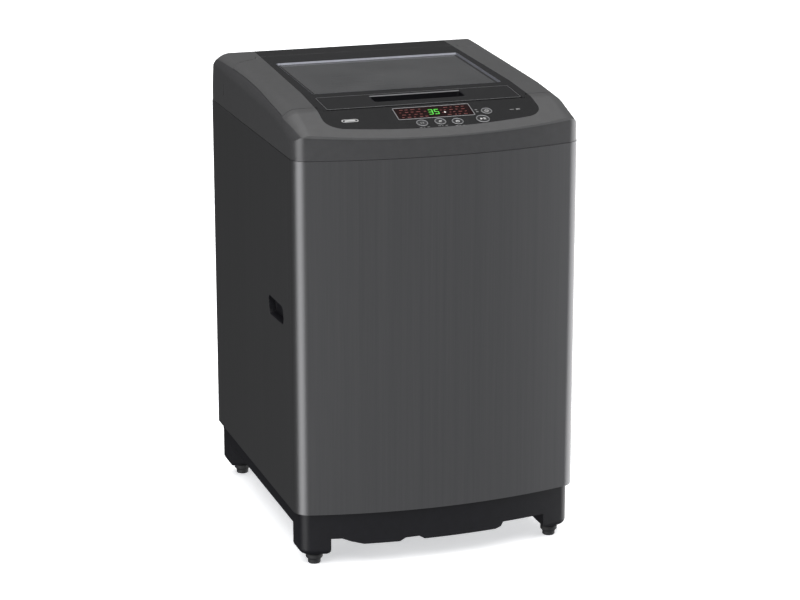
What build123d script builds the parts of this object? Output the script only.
from build123d import *
import os
from math import atan, atan2, degrees, sqrt

# Top load washing machine.  Millimetres, +Z up, the front faces -Y, +X is to the right of the front.
# The origin is on the floor, under the centre of the machine's box.

# ---- driving dimensions ----
WIDTH = 600.0
DEPTH = 682.0
BOW = 42.0                      # how far the front bulges ahead of its two corners
FRONT_CORNER = 35.0
REAR_CORNER = 12.0

BASE_TOP = 115.0                # the cabinet stands on the base here
CABINET_TOP = 845.0             # the top cover sits on the cabinet here
SHEET = 1.2                     # cabinet sheet steel
SKIN = 3.0                      # plastic wall of the top cover

# top surface, seen from the side as (y, z)
PANEL_FRONT = (-341.0, 886.6)
PANEL_REAR = (-215.0, 925.0)
LID_CROWN = [(-100.0, 935.5), (120.0, 944.5), (302.0, 951.5)]
REAR_SHOULDER = (321.0, 928.0)
REAR_FOOT = (339.0, 828.0)
CROWN_RADII = [80.0, 600.0, 900.0, 14.0, 30.0]
# seam between the body coloured skirt and the lighter top, seen from the side as (y, z)
SEAM = [(-346.0, 882.0), (-299.0, 893.0), (-203.0, 912.0), (-136.0, 919.5),
        (-73.0, 925.0), (38.0, 932.0), (163.0, 936.0), (247.0, 937.0), (346.0, 936.0)]
SHOULDER_ROUND = 38.0

BAND_HALF = 226.0               # half width of the black band at its front
BAND_REAR_HALF = 213.0
BAND_THICK = 3.0
BAND_FRONT_INSET = 32.0
BAND_CORNER = 42.0

LID_FRONT = -217.0              # front edge of the lid between the shoulders
LID_SHOULDER_FRONT = -194.0
LID_REAR = 242.0
LID_SHOULDER_REAR = 190.0
LID_GAP = 1.6
LID_SEAM_GAP = 0.8
HINGE_Y = 236.0
HINGE_Z = 945.3
HINGE_PIN_R = 2.5
HINGE_PIN_CLEARANCE = 0.05

GLASS_FRONT = -105.0
GLASS_REAR = 173.0
GLASS_HALF = 202.0
GLASS_THICK = 3.2
GLASS_SINK = 3.5
GASKET_THICK = 0.6
LEDGE = 10.0
BAR_FRONT = -213.5
BAR_REAR = -131.0
BAR_HALF = 205.0
SLOT_HALF = 95.0
SLOT_FRONT = -182.0
SLOT_REAR = -144.0
SLOT_FLOOR = 904.0

DECK = 871.0                    # top of the deck around the wash opening
TUB_Y = 12.0                    # the tub's axis
OPENING_R = 212.0
HOUSING_WALL_Y = -213.0         # wall behind the control housing, facing the wash opening
REAR_WALL_Y = 247.0             # wall in front of the water inlet housing

# buttons: name, x, y, radius
BUTTONS = [("button_programme", -32.0, -289.0, 12.0), ("button_water_level", 6.0, -288.0, 12.0),
           ("button_delay", 41.0, -292.0, 12.0), ("button_power", 113.0, -260.0, 11.5),
           ("button_start", 95.0, -289.0, 14.0)]
BUTTON_GAP = 0.4
BUTTON_DEPTH = 9.0
DISPLAY = (-74.0, 85.0, -272.0, -227.0)

FEET_X = 256.0
FEET_Y = [-271.0, 298.0]
BASE_INSET = 10.0
BASE_WALL = 5.0
LEG_INNER = 230.0               # the legs reach in to here from both sides
FRONT_LEG_REAR = -235.0
REAR_LEG = (270.0, 327.0)
LEG_BOTTOM = 23.0
LEG_ROUND = 14.0
STUD_R = 4.0
NUT_ROOM_R = 22.0

HANDHOLD_Y = -163.0
HANDHOLD_Z = 511.0
HANDHOLD_LENGTH = 122.0
HANDHOLD_HEIGHT = 36.0
HANDHOLD_DEPTH = 17.0

TUB_R = 275.0
TUB_WALL = 3.0
TUB_BOTTOM = 215.0
TUB_TOP = 790.0
BASKET_R = 250.0
BASKET_WALL = 2.0
BASKET_BOTTOM = 251.0
BASKET_TOP = 745.0
ROD_OFFSET = 238.0
ROD_R = 4.0
ROD_CLEARANCE = 0.08
LUG_BOTTOM = 300.0
LUG_TOP = 330.0
SPRING_SEAT = 198.0
SHAFT_R = 8.0
HUB_R = 16.0
FIT = 0.05

DRAWER = (-196.0, -94.0)
DRAWER_FRONT = -298.0
DRAWER_Z = (873.2, 890.0)

DRAIN_X = -170.0
DRAIN_Y = 180.0
DRAIN_Z = 148.0
DRAIN_R = 13.0                   # spigot outside the rear panel
DRAIN_NECK_R = 15.0              # pipe inside the machine and through the panel
TRAY_Y = 324.0                  # the rear panel's sunk field
GLAND_X = -220.0
GLAND_Z = 770.0
GLAND_R = 10.0
GLAND_NECK_R = 7.0
GLAND_BORE_R = 4.0

VALVE_X = [178.0, 228.0]
VALVE_Z = 890.0
THREAD_R = 13.2

BOW_RADIUS = ((WIDTH / 2) ** 2 + BOW ** 2) / (2 * BOW)
BOW_CENTRE_Y = -DEPTH / 2 + BOW_RADIUS
PANEL_SLOPE = (PANEL_REAR[1] - PANEL_FRONT[1]) / (PANEL_REAR[0] - PANEL_FRONT[0])
PANEL_ANGLE = degrees(atan(PANEL_SLOPE))
SCREW_R = 2.0
SCREW_PLACES = [(x, z) for x in (-284.0, 284.0) for z in (140.0, 370.0, 600.0, 820.0)]
BUMPER_PLACES = [(x, y) for x in (-272.0, 272.0) for y in (-150.0, 150.0)]
ROD_PLACES = [(sx * ROD_OFFSET, TUB_Y + sy * ROD_OFFSET) for sx in (-1, 1) for sy in (-1, 1)]


# ---- small helpers ----
def block(x0, x1, y0, y1, z0, z1):
    box = Box(x1 - x0, y1 - y0, z1 - z0)
    return Pos((x0 + x1) / 2, (y0 + y1) / 2, (z0 + z1) / 2) * box


def post(x, y, z0, z1, radius):
    return Pos(x, y, (z0 + z1) / 2) * Cylinder(radius, z1 - z0)


def ring(x, y, z0, z1, outer, inner):
    return post(x, y, z0, z1, outer) - post(x, y, z0 - 1, z1 + 1, inner)


def rod_y(x, z, y0, y1, radius):
    return Pos(x, (y0 + y1) / 2, z) * Rot(90, 0, 0) * Cylinder(radius, y1 - y0)


def rod_x(y, z, x0, x1, radius):
    return Pos((x0 + x1) / 2, y, z) * Rot(0, 90, 0) * Cylinder(radius, x1 - x0)


def prism(face, z0, z1):
    return extrude(Pos(0, 0, z0) * face, z1 - z0)


def bowed_face(half, inset, rear, front_corner, rear_corner, rear_half=None):
    """Plan outline with two straight sides, a flat rear and a front that keeps the bow."""
    rear_half = rear_half or half
    radius = BOW_RADIUS - inset
    corner_y = BOW_CENTRE_Y - sqrt(radius ** 2 - half ** 2)
    outline = Line((half, corner_y), (rear_half, rear))
    outline += Line((rear_half, rear), (-rear_half, rear))
    outline += Line((-rear_half, rear), (-half, corner_y))
    outline += ThreePointArc((-half, corner_y), (0, BOW_CENTRE_Y - radius), (half, corner_y))
    face = make_face(outline)
    if front_corner > 0:
        face = fillet(face.vertices().group_by(Axis.Y)[0], front_corner)
    if rear_corner > 0:
        face = fillet(face.vertices().group_by(Axis.Y)[-1], rear_corner)
    return face


def plan(inset, z0, z1):
    """The machine's plan outline, moved inwards by inset, from z0 to z1."""
    front_corner = max(FRONT_CORNER - inset, 4.0)
    rear_corner = max(REAR_CORNER - inset, 2.0)
    return prism(bowed_face(WIDTH / 2 - inset, inset, DEPTH / 2 - inset, front_corner, rear_corner), z0, z1)


def side_view(outline, half=400.0):
    """Extrude an outline drawn as (y, z) to both sides."""
    return extrude(Plane.YZ * make_face(outline), half, both=True)


def under_top(drop=0.0, rear_shift=0.0, half=400.0):
    """Everything under the top surface lowered by drop, ahead of the rear wall."""
    ahead = 20.0
    floor = CABINET_TOP - 60
    start = (PANEL_FRONT[0] - ahead, PANEL_FRONT[1] - ahead * PANEL_SLOPE)
    outline = FilletPolyline(start, PANEL_REAR, *LID_CROWN, REAR_SHOULDER, REAR_FOOT, radius=CROWN_RADII)
    outline += Polyline(REAR_FOOT, (REAR_FOOT[0], floor), (start[0], floor), start)
    return Pos(0, -rear_shift, -drop) * side_view(outline, half)


def under_seam(lift=0.0):
    """Everything under the seam line raised by lift."""
    outline = Spline(*SEAM) + Polyline(SEAM[-1], (SEAM[-1][0], 700), (SEAM[0][0], 700), SEAM[0])
    return Pos(0, 0, lift) * side_view(outline)


def rounded_crown(inset=0.0):
    """Everything under the crown, with rounded shoulders, carried on past the rear wall."""
    beyond = 120.0
    rise = (LID_CROWN[-1][1] - LID_CROWN[-2][1]) / (LID_CROWN[-1][0] - LID_CROWN[-2][0])
    end = (LID_CROWN[-1][0] + beyond, LID_CROWN[-1][1] + beyond * rise)
    start = (PANEL_FRONT[0] - beyond, PANEL_FRONT[1] - beyond * PANEL_SLOPE)
    outline = FilletPolyline(start, PANEL_REAR, *LID_CROWN[:-1], end, radius=CROWN_RADII[:-2])
    outline += Polyline(end, (end[0], 700), (start[0], 700), start)
    body = side_view(outline, WIDTH / 2 - inset)
    edges = [e for e in body.edges() if abs(e.center().X) > 1 and e.center().Z > CABINET_TOP]
    return Pos(0, 0, -inset) * fillet(edges, SHOULDER_ROUND - inset)


def crown_solid():
    """The whole top of the machine as one block."""
    return rounded_crown() & under_top(-0.02) & plan(0.0, CABINET_TOP + 0.5, 980)


def layer(body, top, bottom):
    """The slice of the top between two depths under the surface."""
    upper = body & under_top(top) if top != 0 else body
    return upper - under_top(bottom)


def lid_plan(gap):
    """Plan of the lid grown by gap, as a tall prism."""
    points = [(-340, LID_SHOULDER_FRONT - gap), (-BAND_HALF + 6, LID_SHOULDER_FRONT - gap),
              (-BAND_HALF + 14, LID_FRONT - gap), (BAND_HALF - 14, LID_FRONT - gap),
              (BAND_HALF - 6, LID_SHOULDER_FRONT - gap), (340, LID_SHOULDER_FRONT - gap),
              (340, LID_SHOULDER_REAR - 22 + gap), (BAND_HALF + gap, LID_SHOULDER_REAR + 39 + gap),
              (BAND_HALF + gap, LID_REAR + gap), (-BAND_HALF - gap, LID_REAR + gap),
              (-BAND_HALF - gap, LID_SHOULDER_REAR + 39 + gap), (-340, LID_SHOULDER_REAR - 22 + gap)]
    return prism(make_face(Polyline(*points, close=True)), 800, 1000)


def band_plan(shrink=0.0):
    half = BAND_HALF - shrink
    rear_half = BAND_REAR_HALF - shrink
    face = bowed_face(half, BAND_FRONT_INSET + shrink, DEPTH / 2 + 10, BAND_CORNER, 0, rear_half)
    return prism(face, 800, 1000)


def glass_plan(grow=0.0):
    depth = GLASS_REAR - GLASS_FRONT + 2 * grow
    rect = RectangleRounded(2 * (GLASS_HALF + grow), depth, max(6.0 + grow, 2.0))
    return prism(Pos(0, (GLASS_FRONT + GLASS_REAR) / 2) * rect, 800, 1000)


def bar_plan(grow=0.0):
    rect = RectangleRounded(2 * (BAR_HALF + grow), BAR_REAR - BAR_FRONT + 2 * grow, 5.0 + grow)
    return prism(Pos(0, (BAR_FRONT + BAR_REAR) / 2) * rect, 800, 1000)


def slot_plan(grow=0.0):
    height = SLOT_REAR - SLOT_FRONT + 2 * grow
    rect = RectangleRounded(2 * (SLOT_HALF + grow), height, 8.0 + grow)
    return prism(Pos(0, (SLOT_FRONT + SLOT_REAR) / 2) * rect, 800, 1000)


def panel_plane(x, y):
    """A plane on the sloping control panel, its Z pointing out of the panel."""
    z = PANEL_FRONT[1] + (y - PANEL_FRONT[0]) * PANEL_SLOPE
    return Plane(origin=(x, y, z), x_dir=(1, 0, 0), z_dir=(0, -PANEL_SLOPE, 1))


def button_cutters(gap):
    cutters = []
    for name, x, y, radius in BUTTONS:
        cutters.append(panel_plane(x, y) * Pos(0, 0, -10) * Cylinder(radius + gap, 40))
    return cutters


# ---- cabinet and base ----
def handhold_face(grow):
    """Slanted, rounded hand hold outline, drawn as (y, z)."""
    length = HANDHOLD_LENGTH / 2 + grow
    height = HANDHOLD_HEIGHT / 2 + grow
    lean = 12.0
    corners = [(-length, -height - 1), (length - lean, -height - 4), (length, height),
               (-length + lean, height)]
    face = make_face(Polyline(*corners, close=True))
    return fillet(face.vertices(), 13.0 + grow)


def handhold_prism(grow, x0, x1):
    face = Plane.YZ * Pos(HANDHOLD_Y, HANDHOLD_Z) * handhold_face(grow)
    return Pos(x0, 0, 0) * extrude(face, x1 - x0)


def cabinet():
    body = plan(0.0, BASE_TOP, CABINET_TOP) - plan(SHEET, BASE_TOP - 1, CABINET_TOP + 1)
    lips = plan(0.0, BASE_TOP, CABINET_TOP) - plan(16.0, BASE_TOP - 1, CABINET_TOP + 1)
    body += lips & block(-400, 400, -400, 400, BASE_TOP, BASE_TOP + SHEET)
    body += lips & block(-400, 400, -400, 400, CABINET_TOP - SHEET, CABINET_TOP)
    body -= block(-280, 280, 320, 360, BASE_TOP - 1, CABINET_TOP + 1)
    for x, z in SCREW_PLACES:
        body -= rod_y(x, z, 320, 345, SCREW_R)
    for x0 in (-310, 290):
        body -= handhold_prism(0.0, x0, x0 + 20)
    nick = Polyline((345, BASE_TOP - 1), (345, BASE_TOP + 16), (329, BASE_TOP - 1), close=True)
    return body - side_view(nick)


def rear_panel():
    back = DEPTH / 2 - SHEET
    plate = block(-288, 288, back - SHEET, back, 117, CABINET_TOP - SHEET - 0.5)
    plate -= block(-250, 250, back - 5, back + 5, 130, 800)
    tray = block(-250, 250, TRAY_Y, back, 130, 800)
    tray -= block(-250 + SHEET, 250 - SHEET, TRAY_Y + SHEET, back + 5, 130 + SHEET, 800 - SHEET)
    body = plate + tray
    for i in range(5):
        z = 300 + 90 * i
        body += block(-200, 200, TRAY_Y + SHEET, TRAY_Y + SHEET + 3, z, z + 14)
    for i in range(7):
        z = 200 + 9 * i
        body -= block(60, 140, TRAY_Y - 2, TRAY_Y + 4, z, z + 4)
    for x, z in SCREW_PLACES:
        body -= rod_y(x, z, 320, 345, SCREW_R)
    body -= rod_y(DRAIN_X, DRAIN_Z, TRAY_Y - 5, TRAY_Y + 5, DRAIN_NECK_R)
    body -= rod_y(GLAND_X, GLAND_Z, TRAY_Y - 5, TRAY_Y + 5, GLAND_NECK_R)
    return body


def apron_cut():
    """The space under the front skirt, drawn as (x, z)."""
    points = [(-LEG_INNER, 0), (-LEG_INNER, 59), (-208, 59), (-190, 52), (-164, 45), (-90, 45), (-78, 52),
              (-50, 53), (-38, 46), (118, 46), (130, 50), (135, 59), (LEG_INNER, 59), (LEG_INNER, 0)]
    face = Plane.XZ * make_face(Polyline(*points, close=True))
    return extrude(face, 345)


def base():
    wall = plan(BASE_INSET, LEG_BOTTOM + 18, BASE_TOP) - plan(BASE_INSET + BASE_WALL, 0, 200)
    wall -= apron_cut()
    wall -= block(-310, 310, FRONT_LEG_REAR, REAR_LEG[0], 0, 78)
    wall -= block(-LEG_INNER, LEG_INNER, 200, 350, 0, 84)
    wall -= block(-310, 310, REAR_LEG[1], 350, 0, 96)
    body = wall + (plan(BASE_INSET, BASE_TOP - 4, BASE_TOP) - plan(60.0, 0, 200))
    for side in (-1, 1):
        x0, x1 = sorted((side * LEG_INNER, side * WIDTH / 2))
        for y0, y1 in ((-345, FRONT_LEG_REAR), REAR_LEG):
            leg = block(x0, x1, y0, y1, LEG_BOTTOM, BASE_TOP - 3) & plan(BASE_INSET, 0, 200)
            body += fillet(leg.edges().group_by(Axis.Z)[0], LEG_ROUND)
        for y in FEET_Y:
            body -= post(side * FEET_X, y, 0, 200, STUD_R + FIT)
            body -= post(side * FEET_X, y, LEG_BOTTOM + 16, 200, NUT_ROOM_R)
    body += block(-245, 245, 120, 150, BASE_TOP - 12, BASE_TOP - 4) - post(DRAIN_X, DRAIN_Y, 0, 200, 30)
    return body


def levelling_foot(x, y):
    outline = Polyline((0, 0), (12, 0), (13, 1.2), (13, 8), (17.5, 13), (17.5, 20), (15, 22), (STUD_R, 22),
                       (STUD_R, 68), (STUD_R - 1, 69), (0, 69), close=True)
    return Pos(x, y, 0) * revolve(Plane.XZ * make_face(outline), Axis.Z)


def handhold(side):
    """Moulded pocket that lines the hand hold, with a thin rim over the sheet."""
    wall = 2.0
    outer_x = WIDTH / 2
    pocket = handhold_prism(0.0, outer_x - HANDHOLD_DEPTH, outer_x)
    pocket -= handhold_prism(-wall, outer_x - HANDHOLD_DEPTH + wall, outer_x + 5)
    rim = handhold_prism(2.2, outer_x - SHEET - 1.6, outer_x - SHEET) - handhold_prism(-wall, 0, 400)
    body = pocket + rim
    return body if side > 0 else mirror(body, Plane.YZ)


def cabinet_screws():
    screws = []
    back = DEPTH / 2 - SHEET
    for x, z in SCREW_PLACES:
        screws.append(rod_y(x, z, back - 8, back + 0.8, SCREW_R) - rod_y(x, z, back + 0.2, back + 2, 1.0))
    return Compound(children=screws)


# ---- top cover, control panel and rear cover ----
def top_cover(crown):
    skirt = crown & under_seam()
    lift = 30.0
    rear_lean = (REAR_FOOT[0] - REAR_SHOULDER[0]) / (REAR_SHOULDER[1] - REAR_FOOT[1])
    inner = plan(1.0 + SKIN, CABINET_TOP - 5, 980) & rounded_crown(SKIN)
    inner = inner & under_top(-lift, SKIN + lift * rear_lean)
    body = (skirt & plan(1.0, 800, 980)) - inner
    body += (crown & plan(2.0, DECK - SKIN, DECK)) - post(0, TUB_Y, 800, 900, OPENING_R)
    body += ring(0, TUB_Y, CABINET_TOP + 2, DECK, OPENING_R + 3, OPENING_R)
    walls = block(-320, 320, HOUSING_WALL_Y - 2.5, HOUSING_WALL_Y, DECK - 1, 960)
    walls += block(-320, 320, REAR_WALL_Y, REAR_WALL_Y + 2.5, DECK - 1, 960)
    body += walls & crown & plan(3.0, DECK - 1, 960) & under_seam(-0.2)
    for x, y in BUMPER_PLACES:
        body += post(x, y, DECK - 1, 960, 6) & under_seam(-2.7)
    body -= block(DRAWER[0] - 0.8, DRAWER[1] + 0.8, HOUSING_WALL_Y - 5, HOUSING_WALL_Y + 5,
                  DRAWER_Z[0] - 0.8, DRAWER_Z[1] + 0.8)
    body -= block(149.4, 164.6, HOUSING_WALL_Y - 5, HOUSING_WALL_Y + 5, 895.4, 904.6)
    for sx in (-1, 1):
        body -= block(sx * 300 - 8, sx * 300 + 8, 235.5, 238.5, 872, 896)
    for x in VALVE_X:
        body -= rod_y(x, VALVE_Z, 290, 345, THREAD_R + 1.0)
    body -= block(-60, 60, REAR_WALL_Y - 5, REAR_WALL_Y + 5, 876, 894)
    return body


def front_fascia(crown):
    body = (crown - under_seam()) & block(-400, 400, -400, -180, 800, 1000)
    body -= lid_plan(LID_GAP)
    body -= layer(band_plan(), -5, BAND_THICK)
    for cutter in button_cutters(BUTTON_GAP):
        body -= cutter
    x0, x1, y0, y1 = DISPLAY
    return body - layer(block(x0, x1, y0, y1, 800, 1000), -5, BAND_THICK)


def display_plan(grow=0.0):
    x0, x1, y0, y1 = DISPLAY
    rect = RectangleRounded(x1 - x0 + 2 * grow, y1 - y0 + 2 * grow, 4.0)
    return prism(Pos((x0 + x1) / 2, (y0 + y1) / 2) * rect, 800, 1000)


def control_panel(crown):
    body = layer(crown & band_plan(), 0, BAND_THICK) & block(-400, 400, -400, -200, 800, 1000)
    body -= lid_plan(LID_GAP)
    body -= display_plan()
    for cutter in button_cutters(BUTTON_GAP):
        body -= cutter
    return body


def display_window(crown):
    return layer(crown & display_plan(), 0, BAND_THICK)


def button(x, y, radius):
    travel_gap = 0.6
    cap = Pos(0, 0, travel_gap - BUTTON_DEPTH / 2) * Cylinder(radius, BUTTON_DEPTH)
    cap = fillet(cap.edges().group_by(Axis.Z)[-1], 0.6)
    cap += Pos(0, 0, travel_gap - BUTTON_DEPTH - 1.5) * Cylinder(2.5, 3.0)
    return panel_plane(x, y) * cap


def control_board():
    board = block(-66, 128, -306, -222, 875, 876.6)
    for name, x, y, radius in BUTTONS:
        board += block(x - 3, x + 3, y, y + 6, 876.6, 879)
    board += block(-50, -20, -262, -232, 876.6, 890)
    board += block(20, 70, -258, -228, 876.6, 886)
    for x in (-60, 122):
        for y in (-300, -228):
            board += post(x, y, DECK, 875, 3.0)
    return board


def rear_cover(crown):
    body = (crown - under_seam()) & block(-400, 400, 160, 400, 800, 1000)
    body -= lid_plan(LID_GAP)
    body -= layer(band_plan(), -5, BAND_THICK)
    for sx in (-1, 1):
        x0, x1 = sorted((sx * (BAND_HALF - 1), sx * (BAND_HALF + 15)))
        body -= rod_x(HINGE_Y, HINGE_Z, x0, x1, HINGE_PIN_R + HINGE_PIN_CLEARANCE)
    return body


def rear_band(crown):
    body = layer(crown & band_plan(), 0, BAND_THICK) & block(-400, 400, 200, 400, 800, 1000)
    return (body - lid_plan(LID_GAP)) - under_seam()


# ---- lid ----
def lid_frame(crown):
    body = (crown - under_seam(LID_SEAM_GAP)) & lid_plan(0)
    body -= layer(band_plan(), -5, BAND_THICK)
    body -= layer(glass_plan(), -5, GLASS_SINK + GLASS_THICK + GASKET_THICK)
    body -= glass_plan(-LEDGE)
    body -= slot_plan(2.0)
    for sx in (-1, 1):
        x0, x1 = sorted((sx * (BAND_HALF - 12), sx * (BAND_HALF + 1)))
        body -= rod_x(HINGE_Y, HINGE_Z, x0, x1, HINGE_PIN_R)
    return body


def lid_band(crown):
    body = layer(crown & band_plan() & lid_plan(0), 0, BAND_THICK)
    body -= glass_plan()
    for pin in lid_hinge_pins().solids():
        body -= pin
    return body - bar_plan(0.5) - block(-BAR_HALF, BAR_HALF, LID_FRONT - 5, BAR_FRONT + 5, 800, 1000)


def lid_front_panel(crown):
    body = layer(crown & bar_plan(), 0, BAND_THICK)
    return body - slot_plan(2.0)


def lid_handle(crown):
    upper = ((crown - under_seam(LID_SEAM_GAP - 2)) & slot_plan(2.0)) & under_top(0.4)
    body = upper + (slot_plan(2.0) & block(-400, 400, -400, 0, SLOT_FLOOR - 2, 924))
    return body - (slot_plan() & block(-400, 400, -400, 0, SLOT_FLOOR, 1000))


def lid_glass(crown):
    return layer(crown & glass_plan(-0.6), GLASS_SINK, GLASS_SINK + GLASS_THICK)


def lid_gasket(crown):
    top = GLASS_SINK + GLASS_THICK
    body = layer(crown & glass_plan(-0.6), top, top + GASKET_THICK)
    return body - glass_plan(-LEDGE + 1)


def lid_hinge_pins():
    pins = []
    for sx in (-1, 1):
        x0, x1 = sorted((sx * (BAND_HALF - 12), sx * (BAND_HALF + 13)))
        pins.append(rod_x(HINGE_Y, HINGE_Z, x0, x1, HINGE_PIN_R))
    return Compound(children=pins)


def lid_strike():
    body = block(145, 169, -208, -205, 892, 925) + block(145, 169, -208, -198, 908, 925)
    body = body & under_seam(LID_SEAM_GAP)
    return body - block(150, 164, -212, -204, 896, 904)


def lid_bumpers():
    pads = []
    for x, y in BUMPER_PLACES:
        pads.append((post(x, y, 800, 1000, 5) & under_seam(LID_SEAM_GAP)) - under_seam(-1.9))
    return Compound(children=pads)


def lid_lock():
    body = block(140, 174, -262, HOUSING_WALL_Y - 3, 885, 902)
    body += block(140, 174, -262, -240, DECK, 886)
    body += block(140, 174, -240, HOUSING_WALL_Y - 3, 902, 908)
    body = body & under_seam(-1.0)
    return body - block(149.6, 164.4, -250, -200, 895.6, 904.4)


def lock_bolt():
    return block(150.4, 163.6, -245, HOUSING_WALL_Y + 1, 896.4, 903.6)


# ---- detergent drawer ----
def detergent_housing():
    x0, x1 = DRAWER
    body = block(x0 - 3.5, x1 + 3.5, DRAWER_FRONT - 3, HOUSING_WALL_Y - 2.5, DECK, DRAWER_Z[1] + 2.5)
    return body - block(x0 - 1, x1 + 1, DRAWER_FRONT - 1, -200, DRAWER_Z[0] - 1, DRAWER_Z[1] + 1)


def detergent_drawer():
    x0, x1 = DRAWER
    z0, z1 = DRAWER_Z
    body = block(x0, x1, DRAWER_FRONT, HOUSING_WALL_Y + 1, z0, z1)
    body -= block(x0 + 2, x0 + 58, DRAWER_FRONT + 2, HOUSING_WALL_Y - 3, z0 + 2, z1 + 1)
    body -= block(x0 + 60, x1 - 2, DRAWER_FRONT + 2, HOUSING_WALL_Y - 3, z0 + 2, z1 + 1)
    face = block(x0 - 4, x1 + 4, HOUSING_WALL_Y + 0.6, HOUSING_WALL_Y + 4, DECK + 0.8, z1 + 4)
    grip = block(x0 + 30, x1 - 30, HOUSING_WALL_Y + 4, HOUSING_WALL_Y + 9, z1 - 3, z1)
    return body + face + grip


# ---- water system ----
def water_inlet_box():
    body = block(-100, 120, REAR_WALL_Y + 3, 296, DECK, 900)
    body -= block(-98, 118, REAR_WALL_Y + 5, 294, DECK + 2, 898)
    spout = block(-59, 59, REAR_WALL_Y - 12, REAR_WALL_Y + 4, 877, 893)
    return body + spout - block(-57, 57, REAR_WALL_Y - 20, REAR_WALL_Y + 8, 879, 891)


def inlet_valve(x):
    body = block(x - 17, x + 17, 262, 300, 876, 904) + block(x - 12, x + 12, 250, 262, 880, 896)
    spigot = rod_y(x, VALVE_Z, 300, DEPTH / 2, THREAD_R)
    body += spigot + post(x, 280, DECK, 877, 8)
    return body - rod_y(x, VALVE_Z, 306, DEPTH / 2 + 1, 9.5)


def pressure_sensor():
    body = post(-190, 284, DECK, 886, 24) + post(-190, 284, 886, 894, 9)
    return body + block(-216, -206, 276, 292, DECK, 880)


def power_gland():
    body = rod_y(GLAND_X, GLAND_Z, TRAY_Y - 8, TRAY_Y + SHEET, GLAND_NECK_R)
    body += rod_y(GLAND_X, GLAND_Z, TRAY_Y + SHEET, DEPTH / 2 - 2, GLAND_R)
    body += rod_y(GLAND_X, GLAND_Z, TRAY_Y - 10, TRAY_Y - 0.01, GLAND_R)
    return body - rod_y(GLAND_X, GLAND_Z, TRAY_Y - 20, DEPTH / 2 + 5, GLAND_BORE_R)


def drain_pipe():
    body = post(DRAIN_X, DRAIN_Y, 112, 160, 17) + rod_y(DRAIN_X, DRAIN_Z, DRAIN_Y, DEPTH / 2, DRAIN_R)
    body += rod_y(DRAIN_X, DRAIN_Z, DRAIN_Y, TRAY_Y + SHEET, DRAIN_NECK_R)
    body += rod_y(DRAIN_X, DRAIN_Z, TRAY_Y - 6, TRAY_Y, DRAIN_NECK_R + 4)
    for z in (151, 154.5, 158):
        body += post(DRAIN_X, DRAIN_Y, z - 0.7, z + 0.7, 19)
    body += block(DRAIN_X - 15, DRAIN_X + 15, 122, DRAIN_Y + 8, BASE_TOP - 4, 125)
    body -= post(DRAIN_X, DRAIN_Y, 126, 200, 14)
    return body - rod_y(DRAIN_X, DRAIN_Z, DRAIN_Y, DEPTH / 2 + 5, 10)


def drain_valve():
    body = block(DRAIN_X - 24, DRAIN_X + 24, DRAIN_Y - 40, DRAIN_Y + 22, 182, TUB_BOTTOM)
    body += post(DRAIN_X, DRAIN_Y, 142, 183, 12) + rod_y(DRAIN_X, 198, DRAIN_Y - 75, DRAIN_Y - 40, 14)
    return body - post(DRAIN_X, DRAIN_Y, 140, 220, 9)


# ---- suspension ----
def suspension_hangers():
    hangers = []
    for x, y in ROD_PLACES:
        side = 1 if x > 0 else -1
        x0, x1 = sorted((x - side * 13, side * (WIDTH / 2 - SHEET)))
        plate = block(x0, x1, y - 16, y + 16, 812, 818)
        plate += block(x1 - 4 if side > 0 else x0, x1 if side > 0 else x0 + 4, y - 16, y + 16, 780, 818)
        hangers.append(plate + post(x, y, 806, 820, 12) - post(x, y, 800, 830, ROD_R))
    return Compound(children=hangers)


def suspension_rods():
    rods = []
    for x, y in ROD_PLACES:
        rod = post(x, y, 186, 824, ROD_R) + post(x, y, SPRING_SEAT - 8, SPRING_SEAT, 20)
        rods.append(rod + Pos(x, y, 820) * (Sphere(9) & Pos(0, 0, 5) * Box(30, 30, 10)))
    return Compound(children=rods)


def suspension_springs():
    wire = 2.2
    coil_r = 12.0
    turns = 7
    height = LUG_BOTTOM - SPRING_SEAT - 2 * wire - 1.2
    springs = []
    path = Helix(pitch=height / turns, height=height, radius=coil_r)
    section = Plane(origin=path @ 0, z_dir=path % 0) * Circle(wire)
    coil = sweep(section, path=path)
    for x, y in ROD_PLACES:
        springs.append(Pos(x, y, SPRING_SEAT + wire + 0.6) * coil)
    return Compound(children=springs)


# ---- tub, basket, pulsator and drive ----
def outer_tub():
    body = post(0, TUB_Y, TUB_BOTTOM, TUB_TOP, TUB_R)
    body -= post(0, TUB_Y, TUB_BOTTOM + 4, TUB_TOP + 1, TUB_R - TUB_WALL)
    for z in (420, 560, 700):
        body += ring(0, TUB_Y, z, z + 4, TUB_R + 5, TUB_R - 1)
    for x, y in ROD_PLACES:
        dy = y - TUB_Y
        length = sqrt(x * x + dy * dy)
        angle = degrees(atan2(dy, x))
        arm = Pos((TUB_R - 2 + length) / 2, 0, 0) * Box(length - TUB_R + 2, 26, LUG_TOP - LUG_BOTTOM - 6)
        body += Pos(0, TUB_Y, (LUG_TOP + LUG_BOTTOM) / 2) * Rot(0, 0, angle) * arm
        body += post(x, y, LUG_BOTTOM, LUG_TOP, 16)
    body -= post(0, TUB_Y, 200, 240, 32)
    body -= post(DRAIN_X, DRAIN_Y, 210, 230, 9)
    for x, y in ROD_PLACES:
        body -= post(x, y, LUG_BOTTOM - 5, LUG_TOP + 5, ROD_R + ROD_CLEARANCE)
    return body


def tub_cover():
    body = ring(0, TUB_Y, TUB_TOP, TUB_TOP + 4, TUB_R + 2, 224)
    body += ring(0, TUB_Y, TUB_TOP + 4, TUB_TOP + 12, 232, 224)
    return body + ring(0, TUB_Y, TUB_TOP - 12, TUB_TOP, TUB_R + 2, TUB_R)


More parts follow.
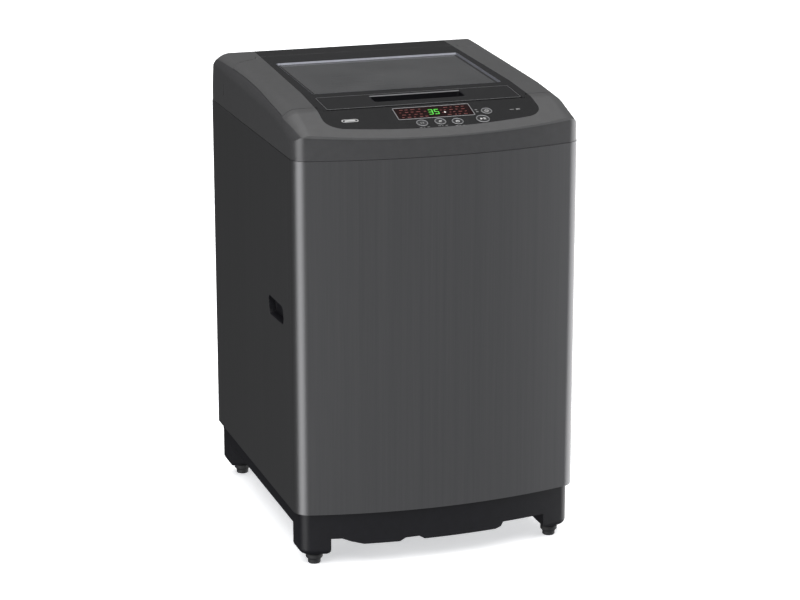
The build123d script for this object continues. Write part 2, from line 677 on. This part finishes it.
def gear_housing():
    body = post(0, TUB_Y, 209, TUB_BOTTOM, 120) + post(0, TUB_Y, 176, 210, 60)
    for i in range(8):
        rib = Pos(85, 0, 202) * Box(70, 4, 14)
        body += Pos(0, TUB_Y, 0) * Rot(0, 0, 45 * i) * rib
    return body - post(0, TUB_Y, 170, 220, 30)


def bearings():
    rings = []
    for z in (178, 202):
        rings.append(ring(0, TUB_Y, z, z + 10, 30, HUB_R + FIT))
    return Compound(children=rings)


def motor_stator():
    body = ring(0, TUB_Y, 149, 176, 62, 44) - ring(0, TUB_Y, 140, 173, 70, 60)
    body += ring(0, TUB_Y, 152, 170, 78, 58)
    for i in range(24):
        tooth = Pos(94, 0, 161) * Box(36, 9, 14)
        shoe = Pos(112, 0, 161) * Box(4, 20, 16)
        body += Pos(0, TUB_Y, 0) * Rot(0, 0, 15 * i) * (tooth + shoe)
    return body


def motor_rotor():
    body = post(0, TUB_Y, 142, 145, 126) + ring(0, TUB_Y, 144, 174, 126, 118) + post(0, TUB_Y, 144, 154, 24)
    for i in range(12):
        body -= Pos(0, TUB_Y, 0) * Rot(0, 0, 30 * i) * Pos(80, 0, 143) * Box(44, 12, 10)
    return body - post(0, TUB_Y, 130, 160, SHAFT_R)


def drive_shaft():
    return post(0, TUB_Y, 136, 288, SHAFT_R) + post(0, TUB_Y, 136, 142, 13)


def basket_hub():
    body = post(0, TUB_Y, 176.5, BASKET_BOTTOM, HUB_R) + post(0, TUB_Y, 243, BASKET_BOTTOM, 95)
    for i in range(6):
        rib = Pos(60, 0, 238) * Box(70, 5, 12)
        body += Pos(0, TUB_Y, 0) * Rot(0, 0, 60 * i) * rib
    return body - post(0, TUB_Y, 170, 260, SHAFT_R + 0.06)


def basket():
    body = post(0, TUB_Y, BASKET_BOTTOM, BASKET_TOP, BASKET_R)
    body -= post(0, TUB_Y, BASKET_BOTTOM + 3, BASKET_TOP + 1, BASKET_R - BASKET_WALL)
    holes = []
    for row in range(9):
        for column in range(16):
            turn = 22.5 * column + (11.25 if row % 2 else 0)
            hole = Rot(0, 0, turn) * Pos(BASKET_R, 0, 310 + 48 * row) * Rot(0, 90, 0) * Cylinder(3.0, 16)
            holes.append(Pos(0, TUB_Y, 0) * hole)
    body -= holes
    return body - post(0, TUB_Y, 240, 260, 20)


def balance_ring():
    body = ring(0, TUB_Y, BASKET_TOP, 778, BASKET_R + 2, 214)
    return fillet(body.edges().group_by(Axis.Z)[-1], 5.0)


def lint_filters():
    filters = []
    for turn in (0, 180):
        frame = Pos(BASKET_R - BASKET_WALL - 9, 0, 560) * Box(10, 90, 190)
        frame -= Pos(BASKET_R - BASKET_WALL - 13, 0, 560) * Box(8, 74, 160)
        frame = frame & post(0, 0, 400, 700, BASKET_R - BASKET_WALL - 0.2)
        filters.append(Pos(0, TUB_Y, 0) * Rot(0, 0, turn) * frame)
    return Compound(children=filters)


def pulsator():
    body = post(0, 0, 262, 268, 192) + post(0, 0, 258, 284, 34)
    body += ring(0, 0, 262, 276, 192, 186)
    for i in range(6):
        vane = Pos(108, 0, 268) * Box(150, 18, 28)
        vane = fillet(vane.edges().filter_by(Axis.X).group_by(Axis.Z)[-1], 8.0)
        body += Rot(0, 0, 60 * i) * vane
    for i in range(6):
        for j in range(4):
            body -= Rot(0, 0, 60 * i + 30) * Pos(60 + 32 * j, 0, 265) * Cylinder(5, 20)
    body = body & post(0, 0, 256, 300, 192)
    return Pos(0, TUB_Y, 0) * (body - post(0, 0, 250, 300, SHAFT_R))


def pulsator_cap():
    cap = post(0, TUB_Y, 288, 294, 22) + ring(0, TUB_Y, 284, 288, 22, SHAFT_R)
    return fillet(cap.edges().group_by(Axis.Z)[-1], 2.5)


def save(shape, name):
    export_step(shape, "parts/" + name + ".step")


def main():
    os.makedirs("parts", exist_ok=True)
    crown = crown_solid()
    plain = {"cabinet": cabinet, "rear_panel": rear_panel, "base": base, "cabinet_screws": cabinet_screws,
             "control_board": control_board, "lid_hinge_pins": lid_hinge_pins, "lid_bumpers": lid_bumpers,
             "lid_lock": lid_lock, "lid_strike": lid_strike, "lock_bolt": lock_bolt,
             "detergent_housing": detergent_housing,
             "detergent_drawer": detergent_drawer, "water_inlet_box": water_inlet_box,
             "pressure_sensor": pressure_sensor, "power_gland": power_gland, "drain_pipe": drain_pipe,
             "drain_valve": drain_valve, "suspension_hangers": suspension_hangers,
             "suspension_rods": suspension_rods, "suspension_springs": suspension_springs,
             "outer_tub": outer_tub, "tub_cover": tub_cover, "gear_housing": gear_housing,
             "bearings": bearings, "motor_stator": motor_stator, "motor_rotor": motor_rotor,
             "drive_shaft": drive_shaft, "basket_hub": basket_hub, "basket": basket,
             "balance_ring": balance_ring, "lint_filters": lint_filters, "pulsator": pulsator,
             "pulsator_cap": pulsator_cap}
    from_crown = {"top_cover": top_cover, "front_fascia": front_fascia, "control_panel": control_panel,
                  "display_window": display_window, "rear_cover": rear_cover, "rear_band": rear_band,
                  "lid_frame": lid_frame, "lid_band": lid_band, "lid_front_panel": lid_front_panel,
                  "lid_handle": lid_handle, "lid_glass": lid_glass, "lid_gasket": lid_gasket}
    for name, make in plain.items():
        save(make(), name)
    for name, make in from_crown.items():
        save(make(crown), name)
    for name, x, y, radius in BUTTONS:
        save(button(x, y, radius), name)
    save(handhold(-1), "handhold_left")
    save(handhold(1), "handhold_right")
    save(inlet_valve(VALVE_X[0]), "inlet_valve_cold")
    save(inlet_valve(VALVE_X[1]), "inlet_valve_hot")
    for front, y in (("front", FEET_Y[0]), ("rear", FEET_Y[1])):
        for side, x in (("left", -FEET_X), ("right", FEET_X)):
            save(levelling_foot(x, y), "foot_" + front + "_" + side)


main()
